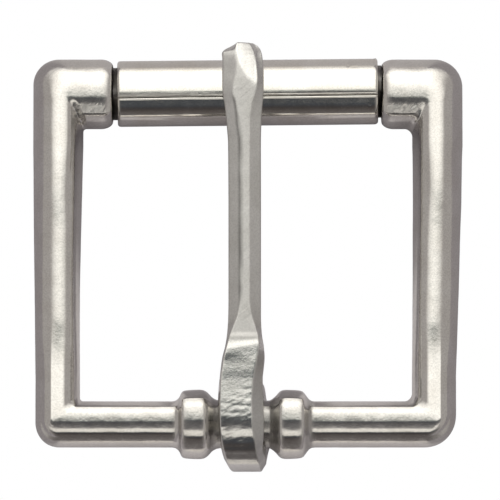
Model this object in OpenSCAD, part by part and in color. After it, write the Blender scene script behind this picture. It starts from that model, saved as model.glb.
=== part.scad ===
// Roller buckle for a 38 mm strap: a cast frame, a loose roller on the frame's pin, and a
// tongue wrapped round the strap bar. Millimetres, in the buckle's own frame: X runs along
// the strap bar, +Y points from the strap bar to the roller, and +Z points out of the front.
// The origin is on the strap bar's axis, midway between the side bars.

/* [Frame] */
// Distance between the axes of the side bars, measured at the strap bar
bar_span = 43.6; // [40:0.1:48]
// Distance from the axis of the strap bar to the axis of the bosses
boss_y = 38.75; // [36:0.05:42]
// Radius of the strap bar
strap_bar_r = 2.7; // [2.4:0.05:2.75]
// Half width of a side bar at the strap bar
side_w_low = 2.58; // [2.2:0.01:2.65]
// Half width of a side bar at its boss
side_w_high = 2.9; // [2.6:0.01:3.2]
// Half depth of a side bar at the strap bar
side_d_low = 2.62; // [2.2:0.01:2.65]
// Half depth of a side bar at its boss
side_d_high = 3.6; // [2.8:0.05:3.8]
// How far the right side bar leans outwards at its boss
right_lean = 0.4; // [0:0.05:0.8]

/* [Bosses and pin] */
// Radius of the two bosses that carry the pin
boss_r = 4.1; // [3.9:0.05:4.6]
// Distance from the middle to the inner end of the left boss
boss_in_left = 15.6; // [14:0.05:17]
// Distance from the middle to the inner end of the right boss
boss_in_right = 16.0; // [14:0.05:17]
// How far the end of the left boss stands out past its side bar
boss_out_left = 0.05; // [0.02:0.01:0.4]
// How far the end of the right boss stands out past its side bar
boss_out_right = 0.2; // [0.02:0.01:0.4]
// Radius of the round corner at the outer end of a boss
boss_corner = 3.0; // [1:0.05:3.6]
// Radius of the round rim at the inner end of a boss
boss_rim = 0.95; // [0.2:0.05:1]
// Radius of the pin inside the roller
pin_r = 3.05; // [2.5:0.05:3.1]
// How far the middle of the pin lies beyond the axis of the bosses
pin_offset = 0.18; // [0:0.01:0.3]
// Slant of the pin and the roller in the plane of the frame, in degrees
pin_slant = 0.57; // [0:0.01:0.8]

/* [Collars] */
// Radius of the two collars that keep the tongue in the middle
collar_r = 4.05; // [3.4:0.05:4.5]
// Distance from the middle to the middle of the left collar
collar_x_left = 5.95; // [5.5:0.05:7]
// Distance from the middle to the middle of the right collar
collar_x_right = 5.4; // [5.3:0.05:7]
// Width of the left collar
collar_w_left = 4.5; // [3:0.05:5]
// Width of the right collar
collar_w_right = 4.2; // [3:0.05:4.6]
// Radius of a collar's round shoulders
collar_round = 0.95; // [0.3:0.05:1.3]

/* [Roller] */
// Distance from the middle of the pin to the left end of the roller
roller_left = 15.0; // [13:0.05:15.2]
// Distance from the middle of the pin to the right end of the roller
roller_right = 15.4; // [13:0.05:15.6]
// Outer radius of the roller
roller_r = 3.85; // [3.6:0.05:3.9]
// Thickness of the sheet that the roller is rolled from
roller_wall = 0.6; // [0.4:0.05:0.65]
// Width of the open seam along the roller
seam_gap = 0.2; // [0.1:0.05:0.4]
// Width of the rounded groove that the turned-in edges leave at the seam
seam_groove_w = 0.8; // [0.4:0.05:1]
// Angle of the seam below the front of the roller, in degrees
seam_angle = 2.5; // [-20:0.5:20]

/* [Tongue] */
// Radius of the bore that turns on the strap bar
eye_bore_r = 2.85; // [2.8:0.01:2.95]
// Clear height between the roller and the tongue that lies on it
tongue_clearance = 0.1; // [0.05:0.01:0.3]
// Share of the tongue's thickness taken by the sloping facets at its sides
facet_share = 0.34; // [0.2:0.01:0.45]
// Bevel along the edges of the tongue's inner face
inner_bevel = 0.35; // [0.1:0.05:0.5]

/* [Hidden] */
$fn = 96;

// The hulls of the side bars are drawn with this many sides.
bar_sides = 48;
// Thickness of the thin ovals that a side bar is stretched between.
buried = 0.02;
// The square that cuts the seam's groove has its middle this far outside the roller.
seam_lip = 0.1;

half_span = bar_span / 2;
left_end = -half_span - side_w_high - boss_out_left;
right_end = half_span + right_lean + side_w_high + boss_out_right;
pin_y = boss_y + pin_offset;
roller_top = roller_r + tongue_clearance;

// Rows along the shank, from the tip to the head, as the tongue lies on the roller. Columns:
// Y, underside Z, top Z, left edge, right edge, left and right edge of the flat top.
SHANK = [
    [44.55, 2.40, 2.80, -0.60, 0.35, -0.45, 0.20],
    [44.35, 2.15, 3.30, -0.95, 0.75, -0.75, 0.50],
    [43.95, 2.05, 3.85, -1.25, 1.20, -1.00, 0.90],
    [43.40, 2.15, 4.45, -2.10, 1.65, -1.60, 1.25],
    [42.60, 2.55, 5.10, -2.68, 1.98, -2.10, 1.50],
    [41.30, 3.25, 5.75, -2.71, 2.09, -2.20, 1.55],
    [39.60, 3.80, 6.15, -2.71, 2.12, -2.10, 1.40],
    [38.00, roller_top, 6.25, -2.60, 2.08, -1.70, 1.12],
    [36.60, roller_top, 6.25, -2.38, 1.96, -1.20, 0.70],
    [34.60, 3.90, 6.20, -2.20, 1.84, -0.95, 0.45],
    [32.20, 3.75, 6.08, -2.04, 1.77, -0.66, 0.45],
    [24.00, 3.30, 5.65, -2.04, 1.77, -0.64, 0.45],
    [14.00, 2.70, 5.12, -2.04, 1.77, -0.64, 0.47],
    [11.00, 2.50, 5.00, -2.08, 1.78, -1.30, 1.05],
    [9.00, 2.40, 5.02, -2.20, 1.85, -2.00, 1.55],
    [8.10, 2.37, 5.36, -2.32, 1.94, -2.15, 1.60],
    [6.20, 2.35, 5.42, -2.64, 2.09, -2.50, 1.40],
    [4.90, 2.35, 5.36, -2.92, 1.98, -2.80, 1.10],
    [2.10, 2.35, 5.45, -3.05, 2.13, -2.78, 0.86]
];

// Rows round the eye, from the front over the outside to the back. Columns: angle from the
// front, outer radius, left edge, right edge, left and right edge of the outer face.
EYE = [
    [8, 5.45, -2.93, 2.15, -2.73, 0.91],
    [28, 5.42, -2.84, 2.12, -2.58, 1.10],
    [49, 5.43, -2.56, 2.09, -2.13, 1.30],
    [70, 5.48, -2.08, 2.10, -1.65, 1.45],
    [92, 5.50, -1.60, 2.15, -1.20, 1.60],
    [114, 5.45, -1.28, 2.32, -0.88, 1.85],
    [136, 5.34, -1.02, 2.60, -0.60, 2.10],
    [158, 5.24, -0.80, 2.92, -0.40, 2.40],
    [180, 5.20, -0.78, 2.88, -0.38, 2.40],
    [205, 5.20, -0.92, 2.66, -0.52, 2.20],
    [235, 5.26, -1.20, 2.40, -0.80, 1.95],
    [270, 5.34, -1.50, 2.12, -1.10, 1.70]
];

// Rows up the tail of the eye, which ends just under the shank. Columns: Z, outer Y, left
// edge, right edge, left and right edge of the outer face.
TAIL = [
    [1.00, 5.36, -1.56, 2.05, -1.16, 1.65],
    [2.10, 5.22, -1.55, 1.98, -1.15, 1.55]
];

// A section row is: foot Y, foot Z, angle of its plane, inner and outer distance from the
// foot, left and right edge, left and right edge of the outer face.
tail_inner = 1.8;
rows = [
    for (r = SHANK) [r[0], 0, 0, r[1], r[2], r[3], r[4], r[5], r[6]],
    for (r = EYE) [0, 0, r[0], tail_inner, r[1], r[2], r[3], r[4], r[5]],
    for (r = TAIL) [0, r[0], 270, tail_inner, r[1], r[2], r[3], r[4], r[5]]
];
steps = 3;

// A smooth curve through the rows: the cubic of Catmull and Rom between rows i and i + 1.
function row_at(i) = rows[max(0, min(len(rows) - 1, i))];
function between(i, t) =
    let (a = row_at(i - 1), b = row_at(i), c = row_at(i + 1), d = row_at(i + 2))
    0.5 * (2 * b + (c - a) * t + (2 * a - 5 * b + 4 * c - d) * t * t
        + (3 * b - a - 3 * c + d) * t * t * t);

// The eight corners of a section in its own plane: how far along X, and how far from the foot.
function corners(s) =
    let (drop = facet_share * (s[4] - s[3]), low = s[3], high = s[4])
    [[s[7], high], [s[8], high], [s[6], high - drop], [s[6], low + inner_bevel],
     [s[6] - inner_bevel, low], [s[5] + inner_bevel, low], [s[5], low + inner_bevel],
     [s[5], high - drop]];
function ring(s) =
    [for (c = corners(s)) [c[0], s[0] - c[1] * sin(s[2]), s[1] + c[1] * cos(s[2])]];

// A round bar along X whose half outline is drawn with its length upwards.
module turned() {
    rotate([90, 0, 90]) rotate_extrude() children();
}

// Half outline from low to high with round corners of radius a at the low end, b at the high.
module rounded_half(r, low, high, a, b) {
    intersection() {
        union() {
            translate([0, low]) square([r - a, high - low - b]);
            translate([0, low + a]) square([r - b, high - low - a]);
            translate([0, low + a]) square([r, high - low - a - b]);
            translate([r - a, low + a]) circle(r = a);
            translate([r - b, high - b]) circle(r = b);
        }
        translate([0, low]) square([r, high - low]);
    }
}

// A side bar: an oval that widens from the strap bar to the boss.
module side_bar(x_low, x_high) {
    hull() {
        translate([x_low, -buried, 0]) rotate([-90, 0, 0])
            linear_extrude(buried) oval(side_w_low, side_d_low);
        translate([x_high, boss_y - buried, 0]) rotate([-90, 0, 0])
            linear_extrude(buried) oval(side_w_high, side_d_high);
    }
}

module oval(half_w, half_d) {
    scale([half_w, half_d]) circle(r = 1, $fn = bar_sides);
}

module strap_bar() {
    turned() intersection() {
        union() {
            translate([0, -half_span]) square([strap_bar_r, bar_span]);
            translate([0, -half_span]) circle(r = strap_bar_r);
            translate([0, half_span]) circle(r = strap_bar_r);
        }
        translate([0, -bar_span]) square([strap_bar_r + 1, 2 * bar_span]);
    }
}

module collar(x, w) {
    turned() rounded_half(collar_r, x - w / 2, x + w / 2, collar_round, collar_round);
}

module bosses() {
    translate([0, boss_y, 0]) turned()
        rounded_half(boss_r, left_end, -boss_in_left, boss_corner, boss_rim);
    translate([0, boss_y, 0]) turned()
        rounded_half(boss_r, boss_in_right, right_end, boss_rim, boss_corner);
}

// Moves its children from the middle of the straight X axis to the slanted pin.
module on_pin() {
    translate([0, pin_y, 0]) rotate([0, 0, pin_slant]) children();
}

module pin() {
    into_boss = boss_rim + 0.5;
    on_pin() translate([-boss_in_left - into_boss, 0, 0]) rotate([0, 90, 0])
        cylinder(r = pin_r, h = boss_in_left + boss_in_right + 2 * into_boss);
}

module frame() {
    color([0.80, 0.79, 0.76]) {
        strap_bar();
        collar(-collar_x_left, collar_w_left);
        collar(collar_x_right, collar_w_right);
        side_bar(-half_span, -half_span);
        side_bar(half_span, half_span + right_lean);
        bosses();
        pin();
    }
}

module roller() {
    end_round = roller_wall / 2;
    past = 1;
    cut_l = roller_left + roller_right + 2 * past;
    color([0.84, 0.83, 0.80]) on_pin() difference() {
        turned() difference() {
            rounded_half(roller_r, -roller_left, roller_right, end_round, end_round);
            translate([0, -roller_left - past]) square([roller_r - roller_wall, cut_l]);
        }
        translate([-roller_left - past, 0, 0]) rotate([seam_angle, 0, 0]) {
            translate([0, -seam_gap / 2, 0]) cube([cut_l, seam_gap, roller_r + past]);
            translate([0, 0, roller_r + seam_lip]) rotate([45, 0, 0])
                translate([0, -seam_groove_w / 2, -seam_groove_w / 2])
                    cube([cut_l, seam_groove_w, seam_groove_w]);
        }
    }
}

module tongue() {
    last = len(rows) - 1;
    sections = [for (i = [0:last - 1], k = [0:steps - 1]) between(i, k / steps), rows[last]];
    n = len(sections);
    sides = 8;
    points = [for (s = sections) each ring(s)];
    walls = [for (i = [0:n - 2], k = [0:sides - 1])
        let (next = (k + 1) % sides)
        each [[i * sides + k, (i + 1) * sides + next, i * sides + next],
              [i * sides + k, (i + 1) * sides + k, (i + 1) * sides + next]]];
    tip = [for (k = [0:sides - 1]) k];
    tail = [for (k = [sides - 1:-1:0]) (n - 1) * sides + k];
    color([0.82, 0.81, 0.78]) difference() {
        polyhedron(points = points, faces = concat(walls, [tip, tail]), convexity = 6);
        translate([-bar_span / 4, 0, 0]) rotate([0, 90, 0])
            cylinder(r = eye_bore_r, h = bar_span / 2);
    }
}

frame();
roller();
tongue();
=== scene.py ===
# Roller buckle for a 38 mm strap, in three pieces: a cast frame, a loose rolled roller and a
# forged tongue, all nickel plated. Lengths below are in millimetres in the buckle's own frame
# (X along the strap bar, +Y towards the roller, +Z out of the front) until a mesh is made.
import math

import bpy
import numpy as np
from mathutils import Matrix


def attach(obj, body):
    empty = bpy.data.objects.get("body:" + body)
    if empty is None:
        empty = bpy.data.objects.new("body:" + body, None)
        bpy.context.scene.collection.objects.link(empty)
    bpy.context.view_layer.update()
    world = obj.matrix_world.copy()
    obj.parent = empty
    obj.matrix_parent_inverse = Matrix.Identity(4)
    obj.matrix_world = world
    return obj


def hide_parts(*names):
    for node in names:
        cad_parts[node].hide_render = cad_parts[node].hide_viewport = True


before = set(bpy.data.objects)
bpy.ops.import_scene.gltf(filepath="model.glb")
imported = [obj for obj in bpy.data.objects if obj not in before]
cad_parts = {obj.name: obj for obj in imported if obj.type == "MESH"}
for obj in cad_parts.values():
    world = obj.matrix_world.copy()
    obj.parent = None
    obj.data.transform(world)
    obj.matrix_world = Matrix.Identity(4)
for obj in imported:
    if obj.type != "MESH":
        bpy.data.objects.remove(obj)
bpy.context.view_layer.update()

scene = bpy.context.scene
scene.view_settings.view_transform = "Standard"
scene.view_settings.look = "None"

# Studio. The buckle lies on a white table, seen from above with a long lens that looks a little
# from the strap bar's side. A wide soft light covers everything past the roller, a narrow strip
# light hangs on the near side, and the room between them is dark.
MM = 0.001
VIEW_TILT = math.radians(8.0)
TO_CAMERA = np.array([0.0, -math.sin(VIEW_TILT), math.cos(VIEW_TILT)])
PICTURE_UP = np.array([0.0, math.cos(VIEW_TILT), math.sin(VIEW_TILT)])

MM_PER_PIXEL = 0.1163
PICTURE_PIXELS = 500
ORIGIN_PIXEL = (245.5, 424.0)
CAMERA_DISTANCE = 1200.0

aim_x = (PICTURE_PIXELS / 2 - ORIGIN_PIXEL[0]) * MM_PER_PIXEL
aim_y = (ORIGIN_PIXEL[1] - PICTURE_PIXELS / 2) * MM_PER_PIXEL / math.cos(VIEW_TILT)
aim = np.array([aim_x, aim_y, 0.0])

lens = bpy.data.cameras.new("photo_camera")
lens.sensor_width = 36.0
lens.lens = lens.sensor_width * CAMERA_DISTANCE / (PICTURE_PIXELS * MM_PER_PIXEL)
lens.clip_start = 0.01
lens.clip_end = 100.0
camera = bpy.data.objects.new("photo_camera", lens)
camera.location = (aim + CAMERA_DISTANCE * TO_CAMERA) * MM
camera.rotation_euler = (VIEW_TILT, 0.0, 0.0)
scene.collection.objects.link(camera)
scene.camera = camera


def wire(tree, source, target):
    """Joins a node's first output, or a given output, to an input socket."""
    tree.links.new(source.outputs[0] if hasattr(source, "outputs") else source, target)


def math_node(tree, operation, *values):
    """A Math node: its inputs are numbers, nodes or outputs of nodes."""
    node = tree.nodes.new("ShaderNodeMath")
    node.operation = operation
    for socket, value in zip(node.inputs, values):
        if isinstance(value, (int, float)):
            socket.default_value = value
        else:
            wire(tree, value, socket)
    return node


def dot_node(tree, vector, direction):
    """The part of a vector that lies along a fixed direction."""
    node = tree.nodes.new("ShaderNodeVectorMath")
    node.operation = "DOT_PRODUCT"
    wire(tree, vector, node.inputs[0])
    node.inputs[1].default_value = tuple(direction)
    return node.outputs["Value"]


def ramp_node(tree, factor, stops):
    """A Color Ramp node with one stop for each (position, colour), and even blends between."""
    node = tree.nodes.new("ShaderNodeValToRGB")
    ramp = node.color_ramp
    while len(ramp.elements) < len(stops):
        ramp.elements.new(1.0)
    for element, (position, colour) in zip(ramp.elements, stops):
        element.position = position
        element.color = (*colour, 1.0)
    wire(tree, factor, node.inputs["Fac"])
    return node


def range_node(tree, value, source, target=(0.0, 1.0), kind="SMOOTHSTEP"):
    """A Map Range node from the source range to the target range, held at its ends."""
    node = tree.nodes.new("ShaderNodeMapRange")
    node.interpolation_type = kind
    node.inputs["From Min"].default_value, node.inputs["From Max"].default_value = source
    node.inputs["To Min"].default_value, node.inputs["To Max"].default_value = target
    wire(tree, value, node.inputs["Value"])
    return node


def colour_mix(tree, factor, first, second, blend="MIX"):
    """A Mix node for two colours, each a tuple or a node."""
    node = tree.nodes.new("ShaderNodeMix")
    node.data_type = "RGBA"
    node.blend_type = blend
    if isinstance(factor, (int, float)):
        node.inputs["Factor"].default_value = factor
    else:
        wire(tree, factor, node.inputs["Factor"])
    for name, colour in (("A", first), ("B", second)):
        if isinstance(colour, tuple):
            node.inputs[name].default_value = (*colour, 1.0)
        else:
            wire(tree, colour, node.inputs[name])
    return next(socket for socket in node.outputs if socket.enabled)


# The table: it touches the two bosses and the back of the tongue's eye.
EYE_BACK_R = 5.2
BOSS_R = 4.1
BOSS_Y = 38.75
TABLE_SLOPE = math.asin((EYE_BACK_R - BOSS_R) / BOSS_Y)
TABLE_HALF = 1500.0

table_corners = TABLE_HALF * np.array([[-1, -1, 0], [1, -1, 0], [1, 1, 0], [-1, 1, 0]]) * MM
table_mesh = bpy.data.meshes.new("table")
table_mesh.from_pydata(table_corners.tolist(), [], [[0, 1, 2, 3]])
table = bpy.data.objects.new("table", table_mesh)
table.location = (0.0, EYE_BACK_R * math.sin(TABLE_SLOPE) * MM,
                  -EYE_BACK_R * math.cos(TABLE_SLOPE) * MM)
table.rotation_euler = (TABLE_SLOPE, 0.0, 0.0)
scene.collection.objects.link(table)

# White paper that burns out in the picture. In reflections it is grey with painted shade: darker
# to both sides, and inside the buckle where the buckle's own shadow would lie, and painted lighter
# far off in front and behind. It also gives off a faint painted glow in reflections.
PAPER_FAR = (0.95, 0.92, 0.88)
PAPER_FRONT = (0.70, 0.68, 0.71)
PAPER_BEHIND = (0.56, 0.545, 0.56)
PAPER_PAINTED_SHADE = (0.34, 0.325, 0.345)
PAPER_PAINTED_GLOW = (0.06, 0.055, 0.06)

# Where each change of the paper begins and where it is full, in mm: by Y, by the distance aside
# from the buckle's middle line, or by Y plus half of that distance.
# The painted shade to both sides begins and is full at these distances aside.
PAINTED_SHADE_ASIDE = (20, 27)
SHADE_ASLANT = (21, 30)
SHADE_ENDS_Y = (40, 46)
MIDDLE_ASIDE = (8, 11)
MIDDLE_Y = (4, 9)
NEAR_SIDE_Y = (-15, -60)
BEHIND_Y = (20, 46)
FAR_SIDE_Y = (70, 160)

paper = bpy.data.materials.new("white_paper")
paper.use_nodes = True
tree = paper.node_tree
tree.nodes.clear()
spot = tree.nodes.new("ShaderNodeSeparateXYZ")
wire(tree, tree.nodes.new("ShaderNodeTexCoord").outputs["Object"], spot.inputs["Vector"])
paper_y = spot.outputs["Y"]
aside = math_node(tree, "ABSOLUTE", spot.outputs["X"])


def paper_change(value, span, target=(0.0, 1.0)):
    """A change of the paper over a span in millimetres."""
    return range_node(tree, value, (span[0] * MM, span[1] * MM), target)


# Painted shade: to both sides, and inside the buckle between the strap bar and the roller.
beside = paper_change(aside, PAINTED_SHADE_ASIDE)
past_bar = paper_change(math_node(tree, "MULTIPLY_ADD", aside, 0.5, paper_y), SHADE_ASLANT)
before_roller = paper_change(paper_y, SHADE_ENDS_Y, (1.0, 0.0))
shade = math_node(tree, "MAXIMUM", beside, math_node(tree, "MULTIPLY", past_bar, before_roller))
middle = math_node(tree, "MULTIPLY", paper_change(aside, MIDDLE_ASIDE, (1.0, 0.0)),
                   paper_change(paper_y, MIDDLE_Y))
middle = math_node(tree, "MULTIPLY", middle, before_roller)
shade = math_node(tree, "MAXIMUM", shade, middle)
sheet = colour_mix(tree, paper_change(paper_y, NEAR_SIDE_Y), PAPER_FRONT, PAPER_FAR)
sheet = colour_mix(tree, paper_change(paper_y, BEHIND_Y), sheet, PAPER_BEHIND)
sheet = colour_mix(tree, paper_change(paper_y, FAR_SIDE_Y), sheet, PAPER_FAR)
sheet = colour_mix(tree, shade, sheet, PAPER_PAINTED_SHADE)
dull = tree.nodes.new("ShaderNodeBsdfDiffuse")
wire(tree, sheet, dull.inputs["Color"])
painted_glow = tree.nodes.new("ShaderNodeEmission")
painted_glow.inputs["Color"].default_value = (*PAPER_PAINTED_GLOW, 1.0)
lit = tree.nodes.new("ShaderNodeAddShader")
wire(tree, dull, lit.inputs[0])
wire(tree, painted_glow, lit.inputs[1])
white = tree.nodes.new("ShaderNodeEmission")
white.inputs["Color"].default_value = (1.0, 1.0, 1.0, 1.0)
seen = tree.nodes.new("ShaderNodeLightPath")
choice = tree.nodes.new("ShaderNodeMixShader")
wire(tree, seen.outputs["Is Camera Ray"], choice.inputs["Fac"])
wire(tree, lit, choice.inputs[1])
wire(tree, white, choice.inputs[2])
wire(tree, choice, tree.nodes.new("ShaderNodeOutputMaterial").inputs["Surface"])
table_mesh.materials.append(paper)

# Light by height above the camera's own direction, in degrees, as red, green and blue.
LIGHT_BANDS = [
    (-180, (0.34, 0.32, 0.34)),
    (-88, (0.27, 0.25, 0.26)),
    (-78, (0.150, 0.138, 0.135)),
    (-66, (0.110, 0.098, 0.095)),
    (-58, (0.070, 0.062, 0.060)),
    (-51, (0.060, 0.058, 0.062)),
    (-44, (0.068, 0.075, 0.088)),
    (-36.5, (0.075, 0.080, 0.086)),
    (-32.5, (1.00, 0.97, 0.90)),
    (-21, (1.15, 1.12, 1.05)),
    (-14, (0.15, 0.145, 0.15)),
    (-7, (0.085, 0.085, 0.09)),
    (1, (0.08, 0.09, 0.10)),
    (4, (0.22, 0.24, 0.23)),
    (7, (0.92, 0.93, 0.88)),
    (9.5, (1.35, 1.34, 1.27)),
    (14, (1.48, 1.46, 1.39)),
    (20, (1.62, 1.60, 1.52)),
    (34, (1.90, 1.87, 1.78)),
    (70, (1.95, 1.92, 1.83)),
    (83, (1.80, 1.77, 1.68)),
    (92, (1.20, 1.17, 1.12)),
    (97, (0.95, 0.93, 0.91)),
    (102, (0.78, 0.76, 0.75)),
    (108, (0.50, 0.48, 0.48)),
    (180, (0.40, 0.38, 0.40)),
]
# To the sides the bands fade into a plain light: rows of the sine of the angle to the side and
# the plain light's share.
SIDE_LIGHT = (0.46, 0.44, 0.425)
SIDE_FADE = [(0.0, 0.0), (0.20, 0.08), (0.32, 0.18), (0.40, 0.30), (0.485, 0.40), (0.565, 0.53),
             (0.637, 0.76), (0.707, 0.93), (0.76, 1.0)]

room = bpy.data.worlds.new("soft_studio")
room.use_nodes = True
scene.world = room
tree = room.node_tree
tree.nodes.clear()
direction = tree.nodes.new("ShaderNodeTexCoord").outputs["Generated"]
height = math_node(tree, "ARCTAN2", dot_node(tree, direction, PICTURE_UP),
                   dot_node(tree, direction, TO_CAMERA))
turn = math_node(tree, "MULTIPLY_ADD", height, 0.5 / math.pi, 0.5)
bands = ramp_node(tree, turn, [(a / 360 + 0.5, colour) for a, colour in LIGHT_BANDS])
side = dot_node(tree, direction, (1, 0, 0))
fade = ramp_node(tree, math_node(tree, "ABSOLUTE", side),
                 [(sine, (share,) * 3) for sine, share in SIDE_FADE])
light = colour_mix(tree, fade, bands, SIDE_LIGHT)
glow = tree.nodes.new("ShaderNodeBackground")
wire(tree, light, glow.inputs["Color"])
backdrop = tree.nodes.new("ShaderNodeBackground")
backdrop.inputs["Color"].default_value = (1.0, 1.0, 1.0, 1.0)
seen = tree.nodes.new("ShaderNodeLightPath")
choice = tree.nodes.new("ShaderNodeMixShader")
wire(tree, seen.outputs["Is Camera Ray"], choice.inputs["Fac"])
wire(tree, glow, choice.inputs[1])
wire(tree, backdrop, choice.inputs[2])
wire(tree, choice, tree.nodes.new("ShaderNodeOutputWorld").inputs["Surface"])

# Frame. One casting: round strap bar with two collars, side bars that widen towards the
# roller, two thick bosses and the pin between them that the roller turns on. It is cast,
# tumbled and nickel plated, so its skin is satin with a fine cast grain.

# The half depth of a side bar at its foot and its head. A boss has its radius, the X of its inner
# end, and a rim rounded off over a length and a depth.
SIDE_DEPTH = (2.78, 3.86)
BOSS_PICTURE_R = 4.06
BOSS_IN = (-15.42, 15.82)
BOSS_RIM = (1.45, 0.85)
PIN_R = 3.05
PIN_Y = 38.93
PIN_SLANT = math.radians(0.57)

# The grid's longest steps in mm and its numbers of sections.
STRAP_BAR_STEP = 0.15
SIDE_BAR_STEP = 0.42
CORNER_STEPS = 24
LEAD_STEPS = 7
RIM_STEPS = 12
BOSS_END_STEPS = 4
PIN_STEPS = 25
# A boss's last straight stretch before its rim starts and ends this far from the rim, and the
# pin's first section lies this far past the boss's end. PIN_SPAN is the X of its free stretch.
BOSS_END = (0.6, 0.1)
PIN_FOOT = 0.03
PIN_SPAN = (-14.8, 15.2)
PIN_BLEND = 0.2

# Side bars from the strap bar's end up: Y, X of the axis and half width.
LEFT_BAR = [
    (5.6, -21.80, 2.58), (7.5, -21.82, 2.59), (12.2, -21.86, 2.61), (16.9, -21.88, 2.66),
    (21.6, -21.87, 2.74), (26.3, -21.84, 2.82), (31.0, -21.81, 2.89), (32.6, -21.80, 2.92),
]
RIGHT_BAR = [
    (5.6, 21.88, 2.56), (7.5, 21.93, 2.58), (12.2, 22.03, 2.64), (16.9, 22.13, 2.70),
    (21.6, 22.20, 2.76), (26.3, 22.30, 2.83), (31.0, 22.33, 2.88), (32.6, 22.35, 2.93),
]

# The sections as the camera sees them: height in the picture as a share of the half height, and
# tilt of the skin from the camera's direction in degrees, upwards positive. The strap bar has a
# flat worn along its front. Each boss has a filed flat below its front that ends in a crease.
STRAP_BAR_SEEN = [
    (-0.69, -40), (-0.58, -38), (-0.45, -34), (-0.37, -26), (-0.335, -19), (-0.315, -16.2),
    (-0.235, -12.9), (-0.2, -11.0), (-0.16, -8.3), (-0.12, -6.6), (0.0, -4.6), (0.07, -3.2),
    (0.105, -2.2), (0.13, -0.6), (0.152, 1.9), (0.175, 2.5), (0.195, 2.8), (0.216, 3.05),
    (0.26, 3.5), (0.303, 4.0), (0.346, 4.6), (0.39, 5.2), (0.433, 6.0), (0.476, 7.4),
    (0.52, 10), (0.563, 20), (0.606, 32), (0.65, 41), (0.693, 43.5), (0.736, 45),
    (0.77, 46), (0.775, 57), (0.83, 61), (0.87, 65),
]
BOSS_SEEN = [
    (-0.78, -51), (-0.634, -46), (-0.59, -39), (-0.555, -33), (-0.543, -7.4), (-0.46, -7.2),
    (-0.403, -6.9), (-0.346, -6.3), (-0.288, -5.6), (-0.2, -4.3), (-0.144, -3.0),
    (-0.115, -1.5), (-0.086, 1.3), (-0.058, 2.4), (-0.029, 2.9), (0.0, 3.2), (0.029, 3.4),
    (0.058, 3.6), (0.115, 4.1), (0.144, 4.6), (0.173, 5.3), (0.2, 6.2), (0.3, 12), (0.4, 20),
    (0.5, 29), (0.57, 36), (0.634, 42), (0.69, 46), (0.778, 52),
]

# Bend radius at each corner as (degrees round, radius) for the strap bar's left and right end
# and the left and right boss. 0 is the outer side, 90 the front and 180 the inner side.
STRAP_LEFT_BEND = [(0, 2.9), (45, 2.1), (70, 0.9), (82, 0.5), (95, 0.4), (108, 0.6), (125, 0.8),
                   (150, 0.6), (168, 0.35), (180, 0.45)]
STRAP_RIGHT_BEND = [(0, 3.8), (50, 2.7), (80, 0.9), (92, 0.5), (105, 0.8), (125, 1.2),
                    (150, 0.8), (168, 0.45), (180, 0.95)]
BOSS_LEFT_BEND = [(0, 3.0), (45, 2.9), (70, 2.5), (80, 2.0), (90, 1.3), (98, 0.8), (104, 0.7),
                  (118, 0.65), (150, 0.55), (180, 0.35)]
BOSS_RIGHT_BEND = [(0, 3.3), (45, 3.1), (70, 2.6), (80, 2.2), (90, 1.6), (98, 1.1), (104, 0.9),
                   (118, 0.7), (160, 0.6), (180, 1.0)]
# Which degrees of a side bar meet which of the strap bar, that runs through in front, and
# which meet which of the boss.
SIDE_FOOT = [(0, 0), (45, 42), (70, 60), (76, 63), (85, 66), (92, 69), (97, 77), (105, 89),
             (124, 114), (150, 148), (180, 180)]
LEFT_HEAD = [(0, 0), (60, 61), (85, 88), (98, 103), (104, 110), (118, 129), (139, 155),
             (160, 170), (180, 180)]
RIGHT_HEAD = [(0, 0), (98, 100), (115, 118), (139, 144), (160, 166), (180, 180)]
SIDE_HEEL = 0.26
# The lines along a side bar leave the strap bar's places up to the first share of its length,
# and go over to the boss's from the second share on.
SLIDE_SHARES = (0.7, 0.72)
# Along the side bars the skin eases into the strap bar's and the bosses' heights between these Y.
FOOT_Y = (5.6, 12.5)
HEAD_Y = (22.0, 32.6)
# How much of the boss's height the skin takes on, by degrees round: all outside, none inside.
HEAD_SHARE = [(0, 1), (92, 1), (112, 0), (180, 0)]

# Half outline of the strap bar from left to right: X and radius, with the two collars.
STRAP_BAR_OUTLINE = [
    (-15.5, 2.68), (-8.60, 2.68), (-8.20, 2.74), (-7.92, 2.90), (-7.66, 3.20),
    (-7.48, 3.60), (-7.25, 3.86), (-6.90, 3.95), (-6.30, 4.00), (-5.40, 4.03),
    (-4.95, 3.99), (-4.62, 3.85), (-4.30, 3.60), (-3.95, 3.22), (-3.62, 2.97),
    (-3.25, 2.82), (-2.70, 2.76), (2.40, 2.76), (2.80, 2.79), (3.10, 2.95),
    (3.35, 3.15), (3.65, 3.45), (3.95, 3.78), (4.25, 3.95), (4.65, 4.01),
    (5.40, 4.00), (6.20, 3.94), (6.62, 3.82), (6.92, 3.50), (7.18, 3.15),
    (7.42, 2.88), (7.70, 2.73), (8.10, 2.68), (15.5, 2.68),
]

# Angles round every section as (first, end, step) in degrees, closer together where the skin
# has its sharpest edges.
AROUND_STEPS = [
    (0, 60, 2.5), (60, 75, 1.25), (75, 126, 1.0), (126, 127.5, 0.25), (127.5, 145, 1.25),
    (145, 180, 2.5), (180, 360, 6.0),
]
around = np.radians(np.concatenate([np.arange(*row) for row in AROUND_STEPS]))
outward, frontward = np.cos(around), np.sin(around)


def ease(t):
    """0 to 1 with level ends: 3 t squared minus 2 t cubed, held at its ends."""
    t = np.clip(t, 0.0, 1.0)
    return t * t * (3 - 2 * t)


def rises(value, start, width):
    """0 up to the start, then easing to 1 over the width."""
    return ease((value - start) / width)


def falls(value, end, width):
    """1 up to the width before the end, then easing to 0 at the end."""
    return ease((end - value) / width)


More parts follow.
